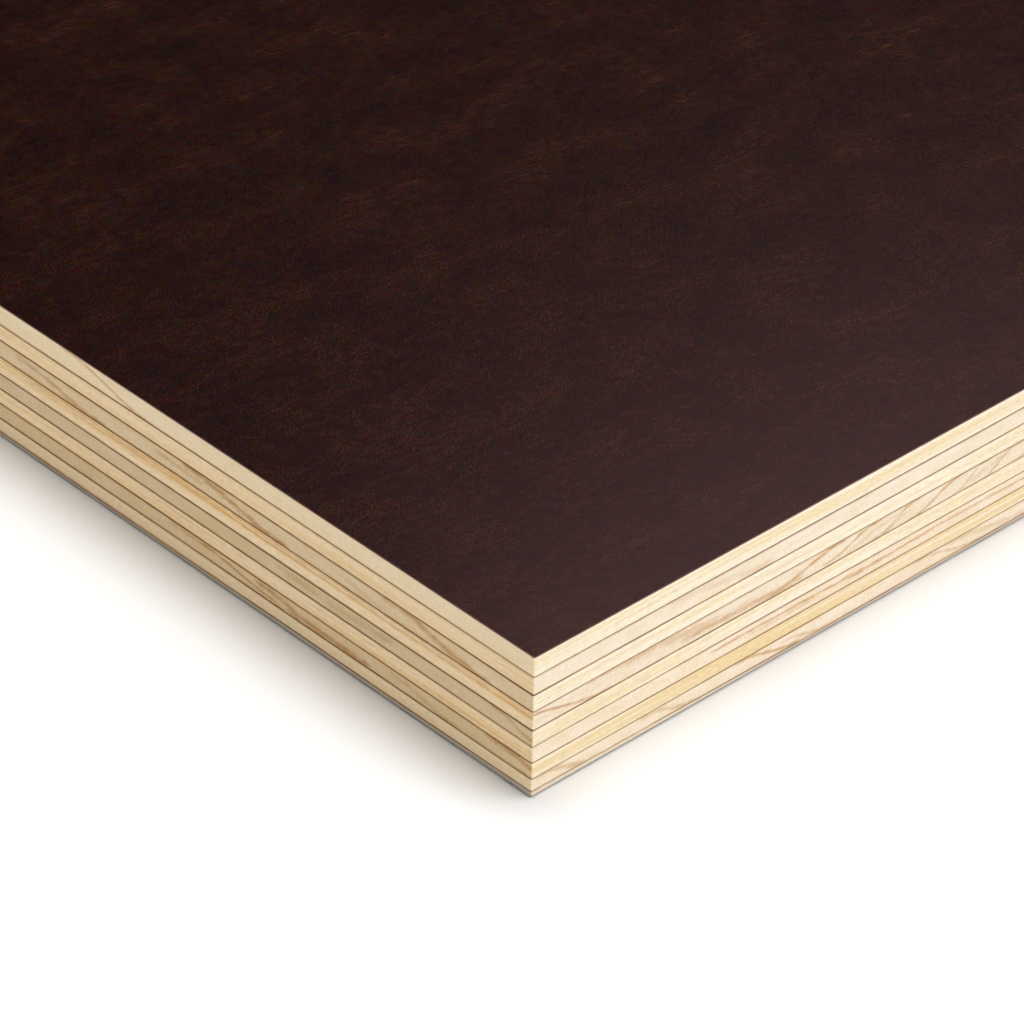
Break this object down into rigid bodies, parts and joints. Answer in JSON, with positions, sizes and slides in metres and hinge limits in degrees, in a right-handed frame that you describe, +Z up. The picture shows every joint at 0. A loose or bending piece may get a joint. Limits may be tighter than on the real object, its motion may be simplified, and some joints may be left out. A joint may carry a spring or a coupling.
{
  "type": "film-faced plywood sheet",
  "caption": "Flat rectangular sheet of cross-laid birch veneers with dark glue lines, bare sawn edges and a dark brown phenolic film on both faces.",
  "frame": {"origin": "middle of the underside, which lies on the floor", "axes": "+X along the sheet's length and its face veneers' grain, +Y across it, +Z up through its thickness"},
  "size_m": [2.5, 1.25, 0.0118],
  "materials": {
    "film": "phenolic-resin film, dark brown with a mottle of paper fibres, low sheen",
    "veneer_along": "pale birch veneer, grain along the sheet, sawn edges bare",
    "veneer_across": "pale birch veneer, grain across the sheet, sawn edges bare",
    "glue": "cured dark brown phenolic resin"
  },
  "bodies": {
    "root": {"top_film": "film", "veneer_1": "veneer_along", "veneer_2": "veneer_across", "veneer_3": "veneer_along", "veneer_4": "veneer_across", "veneer_5": "veneer_along", "veneer_6": "veneer_across", "veneer_7": "veneer_along", "veneer_8": "veneer_across", "veneer_9": "veneer_along", "glue_line_1": "glue", "glue_line_2": "glue", "glue_line_3": "glue", "glue_line_4": "glue", "glue_line_5": "glue", "glue_line_6": "glue", "glue_line_7": "glue", "glue_line_8": "glue", "bottom_film": "film"}
  },
  "joints": []
}
